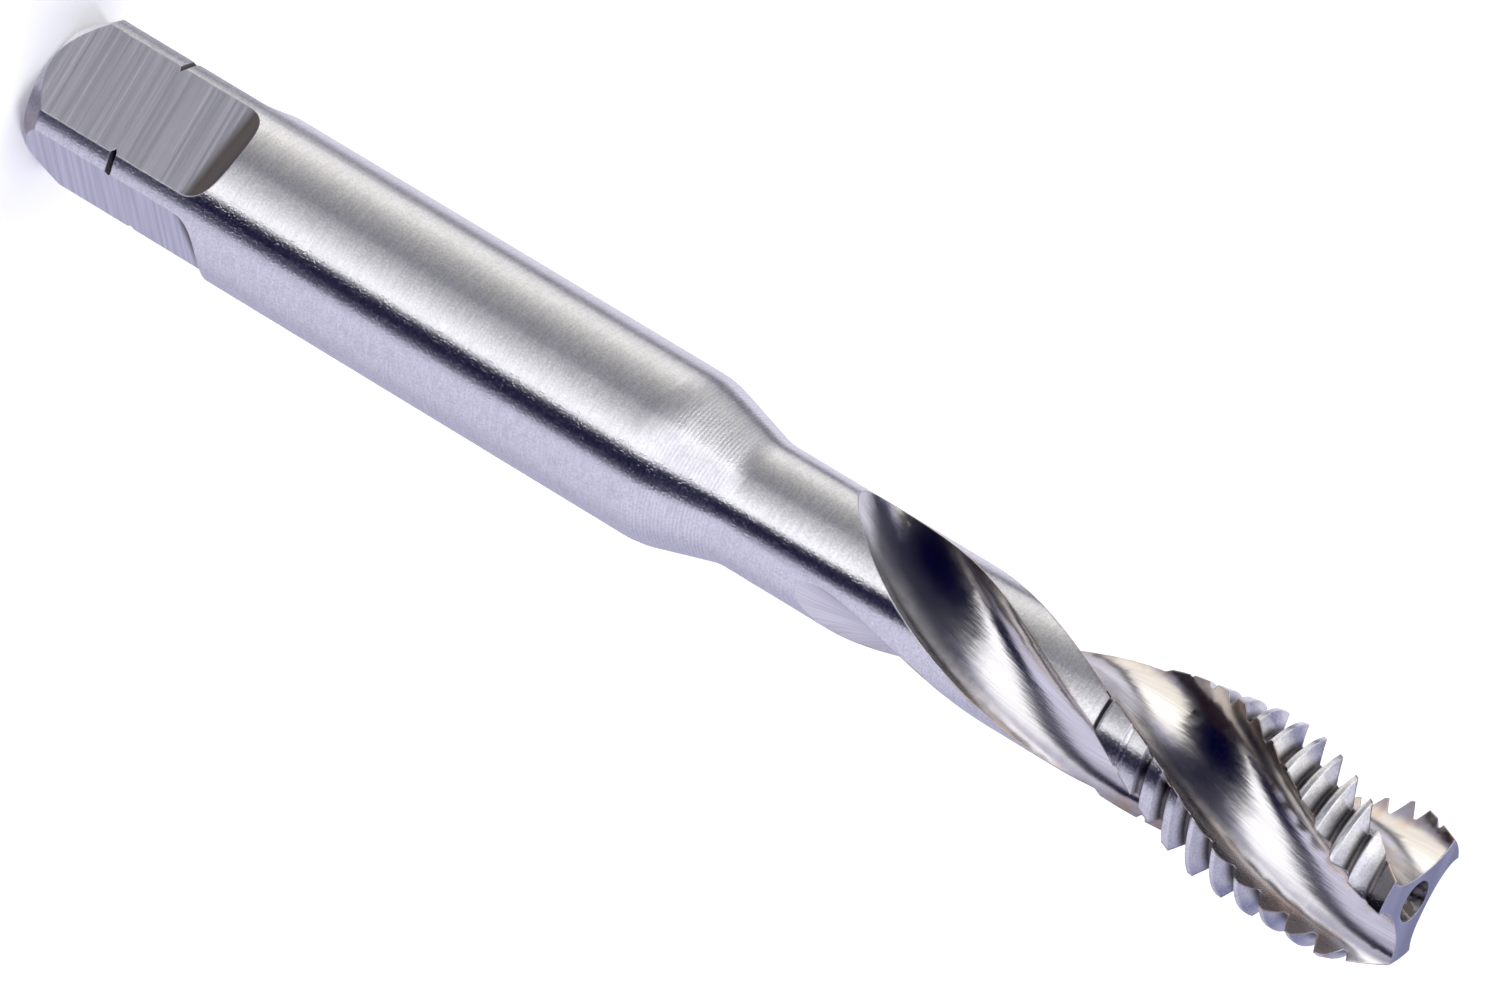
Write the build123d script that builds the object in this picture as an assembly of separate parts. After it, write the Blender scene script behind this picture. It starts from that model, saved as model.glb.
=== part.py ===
"""M8 x 1.25 spiral-flute machine tap, ground from one bar of high-speed steel.

The tap stands on its square end, with its axis on +Z and its cutting end up. Angles round the
axis are in degrees from +X, counted by the right-hand rule about the axis, and lengths are in
millimetres.
"""

import os
from math import ceil, cos, floor, radians, sin, sqrt, tan

from build123d import *

# Overall
overall_length = 72.0
shank_diameter = 8.0

# Driving square
across_flats = 6.3
square_length = 9.0
flat_runout_radius = 1.75
square_land_angle = 27.2  # centre of one corner land
end_chamfer_length = 1.25
end_face_diameter = 6.1
mark_groove_position = 5.3  # from the driven end
mark_groove_width = 0.36
mark_groove_depth = 0.16

# Neck
shank_length = 33.95  # to the corner of the neck's cone
neck_diameter = 5.88
neck_cone_angle = 16.1  # half-angle
shank_edge_radius = 5.0
neck_fillet_radius = 2.5

# Thread
thread_diameter = 8.0
thread_pitch = 1.25
thread_angle = 60.0  # between the flanks
thread_root_diameter = 6.466
thread_root_flat = thread_pitch / 8
thread_length = 14.6
thread_phase = 0.41  # from the front face down to a groove's centre at angle 0
back_taper_length = 5.6
back_taper_diameter = 6.24
back_step_angle = 30.0  # the small step from the neck to the threaded part
chamfer_pitches = 2.0
front_diameter = 6.12

# Flutes
flute_count = 3
flute_lead = 41.5
flute_phase = -17.0  # cutting edge's angle, flute_phase_position behind the front face
flute_phase_position = 8.6
core_diameter = 2.76
flute_opening = 75.0  # from cutting edge to heel on the thread's crest
face_setback = 4.0  # how far the cutting face falls behind its edge at the neck's radius
heel_undercut = 12.0  # how far the flute runs under the heel at the neck's radius
heel_lean = 9.4  # how far the heel's wall would close in half as far out again
floor_angle = 37.5  # the flute's deepest line, from the cutting edge
flute_length = 30.0  # from the front face to where a flute runs out on the neck
flute_runout_radius = 20.0
flute_step = 15.0  # turn from one flute section to the next

# Centres, one in each end
centre_mouth_diameter = 1.96
centre_pilot_diameter = 0.8
centre_angle = 60.0
centre_pilot_depth = 0.8

# Working clearances of the cutters
past = 0.5

shank_radius = shank_diameter / 2
thread_radius = thread_diameter / 2
neck_radius = neck_diameter / 2
core_radius = core_diameter / 2
thread_start = overall_length - thread_length
flute_start = overall_length - flute_length


def polar(radius, angle):
    return (radius * cos(radians(angle)), radius * sin(radians(angle)))


def blank():
    """The turned and ground bar, before its flats, thread and flutes."""
    cone_length = (shank_radius - neck_radius) / tan(radians(neck_cone_angle))
    step_length = (back_taper_diameter / 2 - neck_radius) / tan(radians(back_step_angle))
    chamfer_start = overall_length - chamfer_pitches * thread_pitch
    outline = Polyline(
        (0, 0),
        (end_face_diameter / 2, 0),
        (shank_radius, end_chamfer_length),
        (shank_radius, shank_length),
        (neck_radius, shank_length + cone_length),
        (neck_radius, thread_start - step_length),
        (back_taper_diameter / 2, thread_start),
        (thread_radius, thread_start + back_taper_length),
        (thread_radius, chamfer_start),
        (front_diameter / 2, overall_length),
        (0, overall_length),
        close=True,
    )
    section = make_face(outline)
    section = fillet(corners_at(section, shank_radius, shank_length), shank_edge_radius)
    section = fillet(corners_at(section, neck_radius, shank_length + cone_length), neck_fillet_radius)
    return revolve(Plane.XZ * section, Axis.Z)


def corners_at(section, radius, height):
    """The section's corner at this radius and height."""
    place = Vector(radius, height)
    return [corner for corner in section.vertices() if (Vector(corner) - place).length < 1e-3]


def flat_cutter():
    """What leaves one flat of the square, with the radius that the wheel leaves at its end."""
    depth = across_flats / 2
    outside = shank_radius + past
    rise = outside - depth
    reach = sqrt(flat_runout_radius**2 - (flat_runout_radius - rise) ** 2)
    edge = Polyline(
        (outside, square_length + reach),
        (outside, -past),
        (depth, -past),
        (depth, square_length),
    )
    bend = RadiusArc((depth, square_length), (outside, square_length + reach), flat_runout_radius)
    profile = make_face(Curve() + [edge, bend])
    return extrude(Plane.XZ * profile, shank_diameter, both=True)


def mark_groove():
    """The fine V ring cut round the square, which only its corner lands reach."""
    bottom = shank_radius - mark_groove_depth
    outside = shank_radius + mark_groove_depth
    ring = Polyline(
        (bottom, mark_groove_position),
        (outside, mark_groove_position - mark_groove_width),
        (outside, mark_groove_position + mark_groove_width),
        close=True,
    )
    return revolve(Plane.XZ * make_face(ring), Axis.Z)


def centre():
    """A lathe centre's hole, opening at z = 0 and going down."""
    mouth = centre_mouth_diameter / 2
    pilot = centre_pilot_diameter / 2
    cone_depth = (mouth - pilot) / tan(radians(centre_angle / 2))
    outline = Polyline(
        (0, past),
        (mouth, past),
        (mouth, 0),
        (pilot, -cone_depth),
        (pilot, -cone_depth - centre_pilot_depth),
        (0, -cone_depth - centre_pilot_depth),
        close=True,
    )
    return revolve(Plane.XZ * make_face(outline), Axis.Z)


def flute_turn(height):
    """The cutting edge's angle at this height."""
    behind = height - (overall_length - flute_phase_position)
    return flute_phase + behind * 360 / flute_lead


def thread_grooves():
    """The V groove, right-handed, as one length over each land that it crosses.

    The lengths end inside the flutes, where there is nothing left to cut.
    """
    root = thread_root_diameter / 2
    top = thread_radius + past / 8
    half_root = thread_root_flat / 2
    half_top = half_root + (top - root) * tan(radians(thread_angle / 2))
    groove = make_face(
        Polyline(
            (root, -half_root), (top, -half_top), (top, half_top), (root, half_root), close=True
        )
    )
    between_flutes = 360 / flute_count
    span = 0.75 * between_flutes
    path = Helix(thread_pitch, thread_pitch * span / 360, root)
    length = sweep(Plane.XZ * groove, path=path, is_frenet=True)

    start = overall_length - thread_phase
    land = flute_turn(start) + (flute_opening + between_flutes) / 2
    gain = 1 - thread_pitch / flute_lead
    first = floor(((thread_start - start) * 360 / thread_pitch * gain - land) / between_flutes)
    last = ceil((thread_phase * 360 / thread_pitch * gain - land) / between_flutes)
    lengths = []
    for crossing in range(first, last + 1):
        turned = (land + crossing * between_flutes) / gain - span / 2
        lengths.append(Pos(0, 0, start + turned / 360 * thread_pitch) * Rot(0, 0, turned) * length)
    return lengths


def flute_section(height):
    """A flute's outline square to the axis, at this height, drawn out where it runs out."""
    full_depth_from = flute_start + sqrt(
        flute_runout_radius**2 - (flute_runout_radius - neck_radius + core_radius) ** 2
    )
    short = max(0.0, full_depth_from - height)
    lift = flute_runout_radius - sqrt(flute_runout_radius**2 - short**2)
    outside = 1.5 * thread_radius
    outline = Spline(
        polar(outside, face_setback),
        polar(thread_radius, 0),
        polar(neck_radius, -face_setback),
        polar(core_radius, floor_angle),
        polar(neck_radius, flute_opening + heel_undercut),
        polar(thread_radius, flute_opening),
        polar(outside, flute_opening - heel_lean),
    )
    face = make_face(Curve() + [outline, Line(outline @ 1, outline @ 0)])
    return Pos(0, 0, height) * Rot(0, 0, flute_turn(height)) * Pos(*polar(lift, floor_angle)) * face


def flute_cutter():
    """One flute, lofted through turned sections from its run-out to past the front face."""
    low = flute_start - past
    high = overall_length + past
    steps = round((high - low) * 360 / flute_lead / flute_step)
    heights = [low + (high - low) * step / steps for step in range(steps + 1)]
    return loft([flute_section(height) for height in heights])


tap = blank()
tap -= [Rot(0, 0, square_land_angle + 45 + 90 * side) * flat_cutter() for side in range(4)]
tap -= mark_groove()
tap -= [Pos(0, 0, overall_length) * centre(), Rot(180, 0, 0) * centre()]
tap -= [Rot(0, 0, 360 / flute_count * flute) * flute_cutter() for flute in range(flute_count)]
tap -= thread_grooves()

os.makedirs("parts", exist_ok=True)
export_step(tap, "parts/tap.step")
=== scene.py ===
# %% [markdown]
# # The looks of a spiral-flute tap
#
# A machine tap is one bar of high-speed steel. Its shape is already there as a CAD solid, with
# real flutes and a real thread, so this lesson adds what a solid can't hold: how each surface was
# ground, what that does to its reflections, and a studio that such a bar can mirror.

from math import cos, pi, radians, sin

import bpy
from mathutils import Matrix, Vector

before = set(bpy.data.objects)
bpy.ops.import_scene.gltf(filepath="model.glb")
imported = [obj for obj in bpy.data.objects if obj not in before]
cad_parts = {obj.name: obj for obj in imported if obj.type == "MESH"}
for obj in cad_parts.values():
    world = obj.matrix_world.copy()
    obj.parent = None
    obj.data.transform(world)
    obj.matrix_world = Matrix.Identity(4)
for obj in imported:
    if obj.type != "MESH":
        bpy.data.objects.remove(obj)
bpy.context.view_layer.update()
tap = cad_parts["tap"]

# %% [markdown]
# ## Sizes that the finishes follow
#
# Each finish belongs to a stretch of the bar or to a side of a flute. A material can find both
# from a point's own place, if it knows the few sizes that the solid was made with. They are
# written once here, in millimetres and degrees, with the tap standing on its square end.

# %% Sizes of the bar
MM = 0.001
LENGTH = 72.0

SQUARE_DEPTH = 6.3 / 2
SQUARE_LENGTH = 9.0
SQUARE_LAND_ANGLE = 27.2  # the middle of the corner between two flats
MARK_HEIGHT = 5.3  # a fine ring, cut round the square
MARK_WIDTH = 0.36

SHANK_RADIUS = 4.0
SHANK_LENGTH = 33.95
NECK_RADIUS = 2.94
NECK_START = 37.62  # the foot of the cone between shank and neck

THREAD_START = 57.4
THREAD_CREST_RADIUS = 4.0
THREAD_ROOT_RADIUS = 3.233

FLUTES = 3
FLUTE_LEAD = 41.5  # the height of one full turn
FLUTE_PHASE = -17.0  # the cutting edge's angle at the next line's height
FLUTE_PHASE_HEIGHT = LENGTH - 8.6
FLUTE_OPENING = 75.0  # from the cutting edge to the heel, on the crests
EDGE_SETBACK = 4.0  # how far the cutting face falls behind its edge at the neck's radius
HEEL_UNDERCUT = 12.0  # how far the flute runs under its heel at the neck's radius

print("a flute turns", round(360 / FLUTE_LEAD, 2), "degrees in each millimetre of height")

# %% [markdown]
# ## The camera
#
# The camera stands far off with a long lens and looks at the middle of the axis. It is above the
# standing tap, and is rolled, so that the bar runs across the picture from corner to corner.

# %% Camera
CAMERA_ELEVATION = 23.6
CAMERA_ROLL = 121.14
CAMERA_DISTANCE = 545.07
AIM_HEIGHT = 37.38
LENS = 312.0
SENSOR = 36.0
NEAREST, FARTHEST = 0.01, 100  # metres

tilt, roll = radians(CAMERA_ELEVATION), radians(CAMERA_ROLL)
back = Vector((0, -cos(tilt), sin(tilt)))
level = Vector((1, 0, 0))
raised = back.cross(level)
right = level * cos(roll) + raised * sin(roll)
up = raised * cos(roll) - level * sin(roll)
camera = bpy.data.objects.new("camera", bpy.data.cameras.new("camera"))
bpy.context.scene.collection.objects.link(camera)
turn = Matrix((right, up, back)).transposed().to_4x4()
aim = Vector((0, 0, AIM_HEIGHT * MM))
camera.matrix_world = Matrix.Translation(aim + back * CAMERA_DISTANCE * MM) @ turn
camera.data.lens = LENS
camera.data.sensor_width = SENSOR
camera.data.clip_start = NEAREST
camera.data.clip_end = FARTHEST
bpy.context.scene.camera = camera
bpy.context.scene.view_settings.view_transform = "Standard"
print("camera at, mm:", [round(value / MM, 1) for value in camera.location])

# %% [markdown]
# ## Sums on sockets
#
# A material is a graph of nodes, and a long formula drawn as nodes is hard to read. This small
# class holds one socket and gives it Python's arithmetic, so that a formula is typed as a formula
# and the Math nodes are added behind it. Every other node comes from one method.

# %% A socket that can be reckoned with
class Wire:
    """One socket of a node tree; sums on it add Math nodes."""

    def __init__(self, tree, socket=None):
        self.tree = tree
        self.socket = socket

    def node(self, kind, settings=None, inputs=None, output=0):
        """Adds a node: its settings first, then its sockets' values or links."""
        new = self.tree.nodes.new(kind)
        for name, value in (settings or {}).items():
            setattr(new, name, value)
        for name, value in (inputs or {}).items():
            if isinstance(value, Wire):
                self.tree.links.new(value.socket, new.inputs[name])
            else:
                new.inputs[name].default_value = value
        return Wire(self.tree, new.outputs[output] if new.outputs else None)

    def math(self, operation, *values):
        """A Math node on these values, or on this wire alone."""
        inputs = dict(enumerate(values or [self]))
        return self.node("ShaderNodeMath", {"operation": operation}, inputs)

    def __add__(self, other):
        return self.math("ADD", self, other)

    def __radd__(self, other):
        return self.math("ADD", other, self)

    def __sub__(self, other):
        return self.math("SUBTRACT", self, other)

    def __rsub__(self, other):
        return self.math("SUBTRACT", other, self)

    def __mul__(self, other):
        return self.math("MULTIPLY", self, other)

    def __rmul__(self, other):
        return self.math("MULTIPLY", other, self)

    def __truediv__(self, other):
        return self.math("DIVIDE", self, other)

    def __rtruediv__(self, other):
        return self.math("DIVIDE", other, self)

    def __abs__(self):
        return self.math("ABSOLUTE", self)

    def larger(self, other):
        """The larger of the two; on masks, what either covers."""
        return self.math("MAXIMUM", self, other)

    def smooth(self, low, high):
        """0 below low, 1 above high, and a smooth step between."""
        return self.node(
            "ShaderNodeMapRange",
            {"interpolation_type": "SMOOTHSTEP"},
            {"Value": self, "From Min": low, "From Max": high},
        )

    def axes(self):
        """The three parts of a vector."""
        split = self.node("ShaderNodeSeparateXYZ", inputs={0: self})
        return [Wire(self.tree, output) for output in split.socket.node.outputs]

    def noise(self, detail):
        """Soft blotches about one unit of this vector across; their values lie around 0.5."""
        inputs = {"Vector": self, "Scale": 1.0, "Detail": detail}
        return self.node("ShaderNodeTexNoise", inputs=inputs)

    def mix(self, under, over):
        """Under where this is 0, over where it is 1; both are colours."""
        inputs = {0: self, 6: under, 7: over}
        return self.node("ShaderNodeMix", {"data_type": "RGBA"}, inputs, output=2)


DEGREES = 180 / pi  # in one radian
print("a wire's methods:", [name for name in vars(Wire) if not name.startswith("_")])

# %% [markdown]
# ## A studio to mirror
#
# Bright steel has almost no colour of its own: it shows what stands round it. A bar is lit for a
# catalogue with white panels and black flags, and each draws one straight stripe along the bar.
# The panels could be objects, but each stripe depends only on a direction, so they are painted
# on the world: a pale lavender room, in which every panel is a soft-edged patch. The round bar
# mirrors mainly a belt of that room, as far below the horizon as the camera is above it. What
# hangs high or lies low is met by the flutes, the thread and the ends.

# %% Panels and flags
ROOM = (0.53, 0.53, 0.70, 1)
# Each has, in degrees: its middle's heading, its lean (heading gained for each degree down), half
# its width and the softness of its sides; its lowest and highest elevation and their softness.
# Its colour comes last. Later ones hang in front of earlier ones.
PANELS = {
    "side panel": (70, 0.5, 36, 20, -90, 81, 4, (0.75, 0.74, 0.93, 1)),
    "far panel": (-150, 0.0, 23, 8, -90, 90, 5, (0.84, 0.83, 0.96, 1)),
    "warm panel": (-90, 0.1, 33, 8, -60, -19, 5, (1.52, 1.49, 1.42, 1)),
    "white panel": (-1.5, 0.2, 28.5, 3, -54, 16, 3, (1.50, 1.50, 1.56, 1)),
    "white top panel": (-91, -0.5, 53, 4, 13, 77, 5, (1.90, 1.90, 1.92, 1)),
    "gap beside the warm panel": (-125, 0.0, 5, 3, -45, 8, 5, (0.0, 0.0, 0.0, 1)),
    "dark cloth's end": (-99, 0.0, 34, 6, -14, 9, 4, (0.05, 0.05, 0.08, 1)),
    "black flag": (38.2, 0.0, 15.7, 3, -51, 75, 5, (0.0, 0.0, 0.03, 1)),
    "dark cloth": (-74, 1.15, 36.5, 4, -62, 12, 4, (0.0, 0.0, 0.02, 1)),
    "brown table": (3, 0.5, 77, 10, -78, -52, 5, (0.02, 0.01, 0.02, 1)),
    "blue card": (180, -0.2, 36, 10, 18, 75, 10, (0.02, 0.03, 0.20, 1)),
    "far table": (132, 0.0, 34, 20, -62, -40, 11, (0.12, 0.08, 0.09, 1)),
}


def heading_and_elevation(wire):
    """The direction that the world is seen in, in degrees; heading 0 is the camera's side."""
    x, y, z = wire.node("ShaderNodeTexCoord", output=0).axes()
    return x.math("ARCTAN2", x, 0 - y) * DEGREES, z.math("ARCSINE", z) * DEGREES


def patch(heading, elevation, centre, lean, half, soft, low, high, fade):
    """1 inside a panel, 0 outside it, and a soft step at its edges."""
    apart = abs(heading.math("WRAP", heading - centre + elevation * lean, 180.0, -180.0))
    across = ((half + soft - apart) / (2 * soft)).smooth(0.0, 1.0)
    above = elevation.smooth(low - fade, low + fade)
    return across * (above * (1 - elevation.smooth(high - fade, high + fade)))


world = bpy.data.worlds.new("studio")
bpy.context.scene.world = world
world.use_nodes = True
tree = world.node_tree
tree.nodes.clear()
heading, elevation = heading_and_elevation(Wire(tree))
colour = ROOM
for *outline, shade in PANELS.values():
    colour = patch(heading, elevation, *outline).mix(colour, shade)
sky = colour.node("ShaderNodeBackground", inputs={"Color": colour, "Strength": 1.0})
sky.node("ShaderNodeOutputWorld", inputs={"Surface": sky})
print("panels and flags:", ", ".join(PANELS))

# %% [markdown]
# ## Floor and backdrop
#
# The tap stands on a plain white floor that runs on into a white backdrop. A real floor would
# show in the steel as one more pale stripe. Here the steel mirrors the painted studio alone, so
# both are hidden from mirror rays, and the backdrop throws no light or shadow on the tap either.

# %% Floor and backdrop
STUDIO_RADIUS = 2.0  # metres
FLOOR_WHITE = (0.9, 0.9, 0.9, 1)
BLACK = (0, 0, 0, 1)
WHITE = (1, 1, 1, 1)
MATT = 0.9


def plain_material(name, colour, glow):
    """A matt colour with no gloss, which can also glow white."""
    material = bpy.data.materials.new(name)
    material.use_nodes = True
    shader = material.node_tree.nodes["Principled BSDF"]
    shader.inputs["Base Color"].default_value = colour
    shader.inputs["Roughness"].default_value = MATT
    shader.inputs["Specular IOR Level"].default_value = 0.0
    shader.inputs["Emission Color"].default_value = WHITE
    shader.inputs["Emission Strength"].default_value = glow
    return material


bpy.ops.object.select_all(action="DESELECT")
bpy.ops.mesh.primitive_circle_add(vertices=96, radius=STUDIO_RADIUS, fill_type="NGON")
floor = bpy.context.object
floor.name = "floor"
floor.data.materials.append(plain_material("floor white", FLOOR_WHITE, 0.0))
floor.visible_glossy = False

bpy.ops.object.select_all(action="DESELECT")
bpy.ops.mesh.primitive_uv_sphere_add(segments=64, ring_count=32, radius=STUDIO_RADIUS)
backdrop = bpy.context.object
backdrop.name = "backdrop"
backdrop.data.materials.append(plain_material("backdrop white", BLACK, 1.0))
backdrop.visible_glossy = False
backdrop.visible_diffuse = False
backdrop.visible_shadow = False
backdrop.visible_transmission = False
print("floor and backdrop reach, m:", STUDIO_RADIUS)

# %% [markdown]
# ## The lamp
#
# The painted studio lights the floor too, but it is lavender and has no one direction. One broad
# lamp from above whitens the floor and grounds the tap with a soft shadow. It would burn a white
# spot into every polished wall, so it is hidden from mirror rays and lights the floor alone.

# %% Lamp
LAMP_STRENGTH = 2.0
LAMP_SPREAD = 50
LAMP_TILT = (-20, 15, 0)

lamp = bpy.data.objects.new("top light", bpy.data.lights.new("top light", "SUN"))
bpy.context.scene.collection.objects.link(lamp)
lamp.data.energy = LAMP_STRENGTH
lamp.data.angle = radians(LAMP_SPREAD)
lamp.rotation_euler = [radians(angle) for angle in LAMP_TILT]
lamp.visible_glossy = False
print("lamp strength:", lamp.data.energy)

# %% [markdown]
# ## Where a point of the bar lies
#
# One material covers the whole bar, and has to know which finish a point gets. The flutes turn
# about the axis, so a point is told apart by its height, by its distance from the axis, and by
# how far round it is from the cutting edge and from the heel of its flute. Separate slots would
# need the mesh to be cut along every edge, and numbers worked out from the place don't.

# %% Place on the bar
ONTO_LAND = 15.0  # degrees of the land before a cutting edge that count with that edge's flute


def vector(x, y, z):
    """Three numbers as one vector."""
    return x.node("ShaderNodeCombineXYZ", inputs={0: x, 1: y, 2: z})


def place_on_bar(wire):
    """A point's x, y and height and its radius, in millimetres, and its angle, in degrees."""
    x, y, height = [part / MM for part in wire.node("ShaderNodeTexCoord", output=3).axes()]
    radius = (x * x + y * y).math("POWER", x * x + y * y, 0.5)
    return x, y, height, radius, y.math("ARCTAN2", y, x) * DEGREES


def flute_place(height, radius, angle):
    """Degrees from the cutting edge and to the heel; both are above 0 in a flute."""
    turned = FLUTE_PHASE + (height - FLUTE_PHASE_HEIGHT) * (360 / FLUTE_LEAD)
    round_bar = angle.math("WRAP", angle - turned, 360 / FLUTES - ONTO_LAND, -ONTO_LAND)
    inward = (THREAD_CREST_RADIUS - radius) / (THREAD_CREST_RADIUS - NECK_RADIUS)
    from_edge = round_bar + inward * EDGE_SETBACK
    return from_edge, FLUTE_OPENING + inward * HEEL_UNDERCUT - round_bar


material = bpy.data.materials.new("ground steel")
material.use_nodes = True
tree = material.node_tree
tree.nodes.clear()
x, y, height, radius, angle = place_on_bar(Wire(tree))
from_edge, to_heel = flute_place(height, radius, angle)
print("nodes that find the place:", len(tree.nodes))

# %% [markdown]
# ## Heat tint
#
# Grinding warms thin edges most, and warm steel turns straw and brown. A narrow band of that tint
# follows the edges of the lands. A noise breaks it up, because no edge is warmed evenly.

# %% Tint along the edges
TINT = (0.55, 0.37, 0.26, 1)
TINT_STRENGTH = 0.45
TINT_ON_LAND = (-3.5, -1.0)  # degrees outside an edge where the tint starts, and where it is full
TINT_IN_FLUTE = (0.2, 3.0)  # degrees inside an edge where it fades, and where it ends
TINT_HEIGHTS = (44.0, 50.0)
TINT_BREAKS = (0.40, 0.65)
PATCH_SIZE = 1.25


def edge_band(from_edge):
    """1 along an edge and 0 away from it."""
    return from_edge.smooth(*TINT_ON_LAND) * (1 - from_edge.smooth(*TINT_IN_FLUTE))


patches = vector(x / PATCH_SIZE, y / PATCH_SIZE, height / PATCH_SIZE).noise(2.0)
along_edges = edge_band(from_edge).larger(edge_band(to_heel))
tint = along_edges * height.smooth(*TINT_HEIGHTS) * patches.smooth(*TINT_BREAKS) * TINT_STRENGTH
print("the tint starts at height, mm:", TINT_HEIGHTS[0])

# %% [markdown]
# ## Steel
#
# Grinding leaves fine lines. Across them a reflection is drawn out, and along them it stays
# sharp, which is what Anisotropic stands for. The lines themselves could be cut into the mesh,
# but they are finer than a hair, so a Bump node tilts the normal instead. A Bevel node under it
# rounds the sharp edges a little, as a real edge is, and lets them catch the light.

# %% One ground steel
EDGE_ROUNDING = 0.09
BEVEL_SAMPLES = 4


def steel(colour, normal, grain, depth, roughness, anisotropy=0.0, rotation=0.0):
    """A steel with a grain this many millimetres deep; rotation, in turns, is how its lines run."""
    bump = {"Height": grain, "Distance": depth * MM, "Strength": 1.0, "Normal": normal}
    return colour.node(
        "ShaderNodeBsdfPrincipled",
        inputs={
            "Base Color": colour,
            "Metallic": 1.0,
            "Roughness": roughness,
            "Anisotropic": anisotropy,
            "Anisotropic Rotation": rotation,
            "Normal": colour.node("ShaderNodeBump", inputs=bump),
        },
    )


rounded = height.node(
    "ShaderNodeBevel", {"samples": BEVEL_SAMPLES}, {"Radius": EDGE_ROUNDING * MM}
)
print("edges rounded by, mm:", EDGE_ROUNDING)

# %% [markdown]
# ## Shank, cone, neck and thread
#
# These are ground while the bar turns, so their lines run round it. A noise that is squeezed
# along the axis draws such lines with no seam, and a second, even noise adds the specks of the
# grinding wheel. The cone also keeps the regular rings of its feed. Most of this goes into the
# colour and little into the bump, because a deeper bump would fray the long stripes that the
# shank mirrors.

# %% Turned steel
LINE_SPACING = 0.12
LINE_BREAKS = 1.2  # how often a line changes on its way round, for each millimetre
SPECK_SIZE = 0.10
CONE_FEED = 0.16
FEED_WAVER = 2.5
CONE_FADE = 0.6
CONE_FOOT_FADE = 0.2
SPECK_RANGE = (0.5, 0.8)
LINE_GRAIN, SPECK_GRAIN, FEED_GRAIN = 0.2, 0.18, 0.07  # shares of the grain's depth
LINE_COLOUR, SPECK_COLOUR, FEED_COLOUR = 0.4, 0.6, 0.08  # shares of the colour's change
COLOUR_RANGE = (0.3, 0.7)
TURNED_DARK = (0.71, 0.705, 0.715, 1)
TURNED_LIGHT = (0.95, 0.94, 0.95, 1)
TURNED_DEPTH = 0.018
TURNED_ROUGHNESS = 0.277
TURNED_ANISOTROPY = 1.0
ROUND_THE_BAR = 0.25  # of a turn


def cone_mask(height):
    """1 on the cone, 0 on the shank and the neck."""
    return height.smooth(SHANK_LENGTH - CONE_FADE, SHANK_LENGTH + CONE_FADE) * (
        1 - height.smooth(NECK_START - CONE_FADE, NECK_START + CONE_FOOT_FADE)
    )


def turned_finish(x, y, height):
    """The colour and the grain of what was ground as the bar turned."""
    lines = vector(x * LINE_BREAKS, y * LINE_BREAKS, height / LINE_SPACING).noise(2.0)
    specks = vector(x / SPECK_SIZE, y / SPECK_SIZE, height / SPECK_SIZE).noise(1.0)
    waves = (height * (2 * pi / CONE_FEED) + lines * FEED_WAVER).math("SINE")
    rings = cone_mask(height) * waves
    grain = lines * LINE_GRAIN + specks.smooth(*SPECK_RANGE) * SPECK_GRAIN + rings * FEED_GRAIN
    light = lines * LINE_COLOUR + specks * SPECK_COLOUR + rings * FEED_COLOUR
    return light.smooth(*COLOUR_RANGE).mix(TURNED_DARK, TURNED_LIGHT), grain


turned_colour, turned_grain = turned_finish(x, y, height)
print("lines in a millimetre:", round(1 / LINE_SPACING, 1))

# %% [markdown]
# ## Painted shade in the corners
#
# The thread's roots, the small step at the thread's back, the ring round the square and the centre
# holes get a dark colour: painted shade, where little light reaches into them. The corners could be
# found by ray-traced occlusion, but the places are known, so each gets a mask of its own. In a
# centre hole a noise breaks the painted shade, so a few spots keep the bright steel and its
# reflections.

# %% Painted shade in the corners
# The first colour here is painted shade for the recesses.
PAINTED_SHADE = (0.07, 0.06, 0.06, 1)
ROOT_STRENGTH = 0.9
ROOT_START, ROOT_FULL = THREAD_START + 2.0, THREAD_START + 3.0
ROOT_SHADE = (THREAD_ROOT_RADIUS + 0.02, THREAD_ROOT_RADIUS + 0.4)
STEP_HEIGHT = THREAD_START - 0.25
STEP_SHADE = (0.06, 0.16)  # off the step
STEP_STRENGTH = 1.3  # above 1, so that its middle is full
RING_SHADE = (MARK_WIDTH / 2 - 0.06, MARK_WIDTH / 2)
CENTRE_MOUTH = (0.94, 1.0)
NEAR_AN_END = (10.0, 20.0)  # off the middle of the bar
GLINT_SIZE = 0.28
GLINT_RANGE = (0.50, 0.56)
GLINT_STRENGTH = 0.95


def painted_shade_mask(x, y, height, radius):
    """1 where shade is painted into the corners, and 0 elsewhere."""
    in_thread = height.smooth(ROOT_START, ROOT_FULL) * ROOT_STRENGTH
    in_root = in_thread * (1 - radius.smooth(*ROOT_SHADE))
    at_step = (1 - abs(height - STEP_HEIGHT).smooth(*STEP_SHADE)) * STEP_STRENGTH
    in_ring = 1 - abs(height - MARK_HEIGHT).smooth(*RING_SHADE)
    near_end = abs(height - LENGTH / 2).smooth(*NEAR_AN_END)
    in_centre = (1 - radius.smooth(*CENTRE_MOUTH)) * near_end
    glints = vector(x / GLINT_SIZE, y / GLINT_SIZE, height / GLINT_SIZE).noise(1.0)
    in_centre = in_centre * (1 - glints.smooth(*GLINT_RANGE) * GLINT_STRENGTH)
    return in_root.larger(at_step).larger(in_ring).larger(in_centre)


# The painted shade goes over the turned steel's colour, then the heat tint over both.
turned_colour = tint.mix(painted_shade_mask(x, y, height, radius).mix(turned_colour, PAINTED_SHADE), TINT)
turned = steel(
    turned_colour, rounded, turned_grain, TURNED_DEPTH,
    TURNED_ROUGHNESS, TURNED_ANISOTROPY, ROUND_THE_BAR,
)
print("nodes with the turned steel:", len(tree.nodes))
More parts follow.
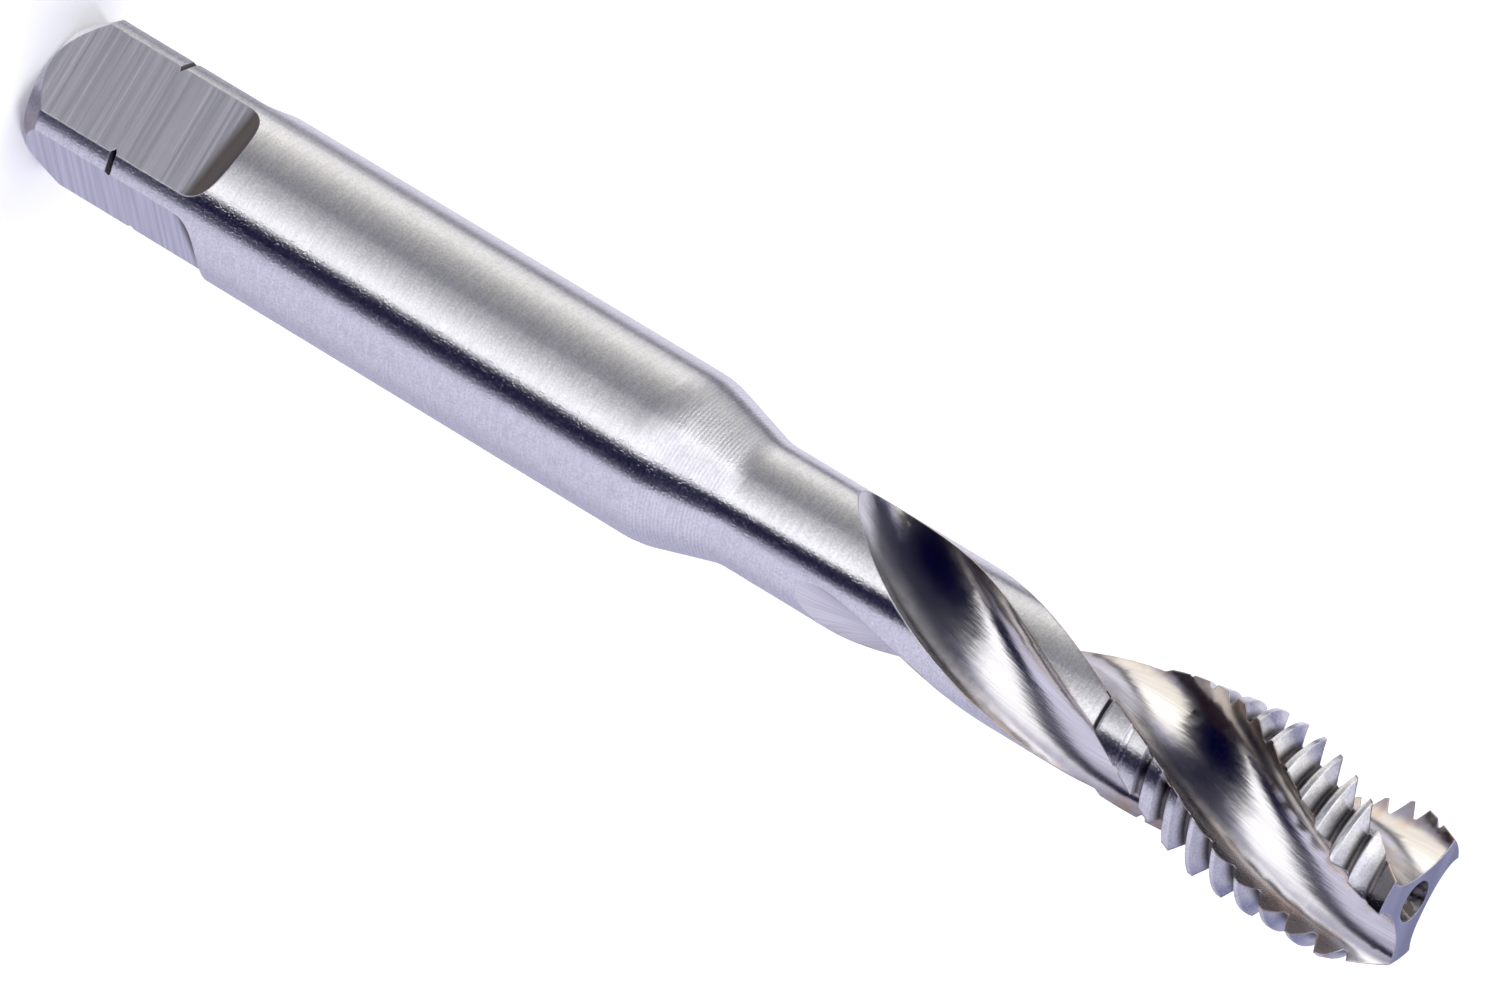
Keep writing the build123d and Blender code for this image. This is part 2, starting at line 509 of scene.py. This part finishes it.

# %% [markdown]
# ## Flutes
#
# A flute is ground along its helix. Its lines are drawn by a noise on two numbers that turn with
# the flute: how far a point is from the cutting edge, and how high it is. Long blotches under
# the lines fray the reflections, as the wheel's chatter does. The steel is darker where the wheel
# burnt it along the cutting edge, and it is rougher towards the heel. Under the heel, where the
# flute runs in under it, a darker colour is painted in as painted shade.
#
# The wheel leaves a wall that faces the cutting edge a little more than the solid's does. The
# solid is right in its outline and stays as it is, so only the shading normal is turned, by up to
# nine degrees about the axis.

# %% Fluted steel
SCRATCH_WIDTH = 1.8  # degrees
SCRATCH_LENGTH = 3.5
BLOTCH_WIDTH = 9.0  # degrees
BLOTCH_LENGTH = 1.1
SCRATCH_RANGE = (0.25, 0.75)
SCRATCH_GRAIN, BLOTCH_GRAIN = 0.22, 0.9  # shares of the grain's depth
FLUTE_DARK = (0.70, 0.68, 0.68, 1)
FLUTE_LIGHT = (0.88, 0.86, 0.86, 1)
BURNT = (0.50, 0.46, 0.42, 1)
BURNT_REACH = (0.0, 30.0)  # degrees from the cutting edge
BURNT_STRENGTH = 0.75
# painted shade under the heel, where the flute runs in under it
HEEL_PAINTED_SHADE = (0.42, 0.40, 0.42, 1)
HEEL_SHADE_REACH = (5.0, 32.0)  # degrees from the heel
HEEL_SHADE_STRENGTH = 0.5
FLUTE_DEPTH = 0.012
FLUTE_ROUGHNESS = 0.155
HEEL_ROUGHNESS = 0.24
ROUGHER = (20.0, 60.0)  # degrees from the cutting edge
FLUTE_ANISOTROPY = 0.6
WALL_LEAN = -9.0  # degrees about the axis, towards the cutting edge
LEANING = (5.0, 60.0)  # degrees from the cutting edge


def fluted_finish(height, from_edge, to_heel):
    """The colour and the grain of a flute's wall, with painted shade under the heel."""
    scratches = vector(from_edge / SCRATCH_WIDTH, height / SCRATCH_LENGTH, 0.0).noise(3.0)
    blotches = vector(from_edge / BLOTCH_WIDTH, height / BLOTCH_LENGTH, 5.0).noise(3.0)
    colour = scratches.smooth(*SCRATCH_RANGE).mix(FLUTE_DARK, FLUTE_LIGHT)
    burnt = (1 - from_edge.smooth(*BURNT_REACH)) * BURNT_STRENGTH
    painted_heel_shade = (1 - to_heel.smooth(*HEEL_SHADE_REACH)) * HEEL_SHADE_STRENGTH
    colour = painted_heel_shade.mix(burnt.mix(colour, BURNT), HEEL_PAINTED_SHADE)
    return colour, scratches * SCRATCH_GRAIN + blotches * BLOTCH_GRAIN


fluted_colour, fluted_grain = fluted_finish(height, from_edge, to_heel)
rise = HEEL_ROUGHNESS - FLUTE_ROUGHNESS
fluted_roughness = FLUTE_ROUGHNESS + from_edge.smooth(*ROUGHER) * rise
lean = from_edge.smooth(*LEANING) * WALL_LEAN
leaning = height.node(
    "ShaderNodeVectorRotate",
    {"rotation_type": "Z_AXIS"},
    {"Vector": rounded, "Angle": lean / DEGREES},
)
fluted = steel(
    tint.mix(fluted_colour, TINT), leaning, fluted_grain, FLUTE_DEPTH,
    fluted_roughness, FLUTE_ANISOTROPY,
)
print("nodes with the fluted steel:", len(tree.nodes))

# %% [markdown]
# ## Flats and end faces
#
# The four flats and the two ends are ground in straight passes. Each pass leaves a streak right
# across the bar, a little aslant. A noise that is long two ways and narrow the third draws them.
# Where the wheel left a flat, its curved run-out stayed darker.

# %% Straight-ground steel
STREAK_WIDTH = 0.3
STREAK_LENGTH = 16.0
STREAK_SLANT = 0.16
STREAK_RANGE = (0.3, 0.7)
STRAIGHT_DARK = (0.64, 0.64, 0.69, 1)
STRAIGHT_LIGHT = (0.85, 0.84, 0.89, 1)
RUNOUT_DARK = (0.22, 0.19, 0.17, 1)
RUNOUT_START = (SQUARE_LENGTH - 0.1, SQUARE_LENGTH + 0.5)
NO_RUNOUT_ABOVE = (20, 21)  # the front face has none
STRAIGHT_DEPTH = 0.04
STRAIGHT_ROUGHNESS = 0.50


def across_flats(x, y):
    """How far out a point is towards the first flat, and how far it is to that flat's side."""
    side = radians(SQUARE_LAND_ANGLE + 45)
    return x * cos(side) + y * sin(side), y * cos(side) - x * sin(side)


def straight_finish(x, y, height):
    """The colour and the grain of the flats, their run-outs and the end faces."""
    over, along = across_flats(x, y)
    slanted = (height + (over + along) * STREAK_SLANT) / STREAK_WIDTH
    streaks = vector(slanted, over / STREAK_LENGTH, along / STREAK_LENGTH).noise(4.0)
    colour = streaks.smooth(*STREAK_RANGE).mix(STRAIGHT_DARK, STRAIGHT_LIGHT)
    runout = height.smooth(*RUNOUT_START) * (1 - height.smooth(*NO_RUNOUT_ABOVE))
    return runout.mix(colour, RUNOUT_DARK), streaks


straight_colour, straight_grain = straight_finish(x, y, height)
straight = steel(straight_colour, rounded, straight_grain, STRAIGHT_DEPTH, STRAIGHT_ROUGHNESS)
print("nodes with the straight-ground steel:", len(tree.nodes))

# %% [markdown]
# ## Which steel shows where
#
# The grinding wheels left crisp borders: a flat ends where its surface leaves the round, and a
# flute ends at its cutting edge and its heel. Each border is one mask, made from the place on the
# bar, and two Mix Shaders lay the fluted and the straight-ground steel over the turned one.
# Mixing whole steels, and not their colours alone, gives each side its own gloss and grain.

# %% Put the steels together
EDGE_FADE = (-1.6, -0.8)  # degrees outside a flute's edges
FLUTED_THREAD = (THREAD_START - 0.7, THREAD_START - 0.6)
BELOW_NECK = (0.005, 0.03)  # how far a flute's wall has to lie under the neck's surface
FLUTED_NECK = (38.5, 39.0)
CENTRE_RIM = (1.1, 1.2)  # the centre hole isn't a flute
ON_A_FLAT = (SQUARE_DEPTH - 0.02, SQUARE_DEPTH - 0.01)
ON_THE_ROUND = (SHANK_RADIUS - 0.015, SHANK_RADIUS - 0.003)
RUNOUT_LENGTH = 2.4
PAST_RUNOUT = (SQUARE_LENGTH + RUNOUT_LENGTH, SQUARE_LENGTH + RUNOUT_LENGTH + 0.1)
ON_AN_END = (LENGTH / 2 - 0.01, LENGTH / 2 - 0.005)


def flute_mask(height, radius, from_edge, to_heel):
    """1 on a flute's wall, 0 on the lands between the flutes."""
    between = from_edge.smooth(*EDGE_FADE) * to_heel.smooth(*EDGE_FADE)
    in_thread = between * height.smooth(*FLUTED_THREAD)
    in_neck = (NECK_RADIUS - radius).smooth(*BELOW_NECK) * height.smooth(*FLUTED_NECK)
    return in_thread.larger(in_neck) * radius.smooth(*CENTRE_RIM)


def straight_mask(x, y, height, radius):
    """1 on the flats, their run-outs and the two end faces."""
    over, along = across_flats(x, y)
    outward = abs(over).larger(abs(along))
    flats = outward.smooth(*ON_A_FLAT) * (1 - radius.smooth(*ON_THE_ROUND))
    flats = flats * (1 - height.smooth(*PAST_RUNOUT))
    return flats.larger(abs(height - LENGTH / 2).smooth(*ON_AN_END))


def lay(above, mask, below):
    """The steel above where the mask is 1, and the one below elsewhere."""
    return mask.node("ShaderNodeMixShader", inputs={0: mask, 1: below, 2: above})


whole = lay(fluted, flute_mask(height, radius, from_edge, to_heel), turned)
whole = lay(straight, straight_mask(x, y, height, radius), whole)
whole.node("ShaderNodeOutputMaterial", inputs={"Surface": whole})
tap.material_slots[0].material = material
print("nodes in the steel:", len(tree.nodes))

# %% [markdown]
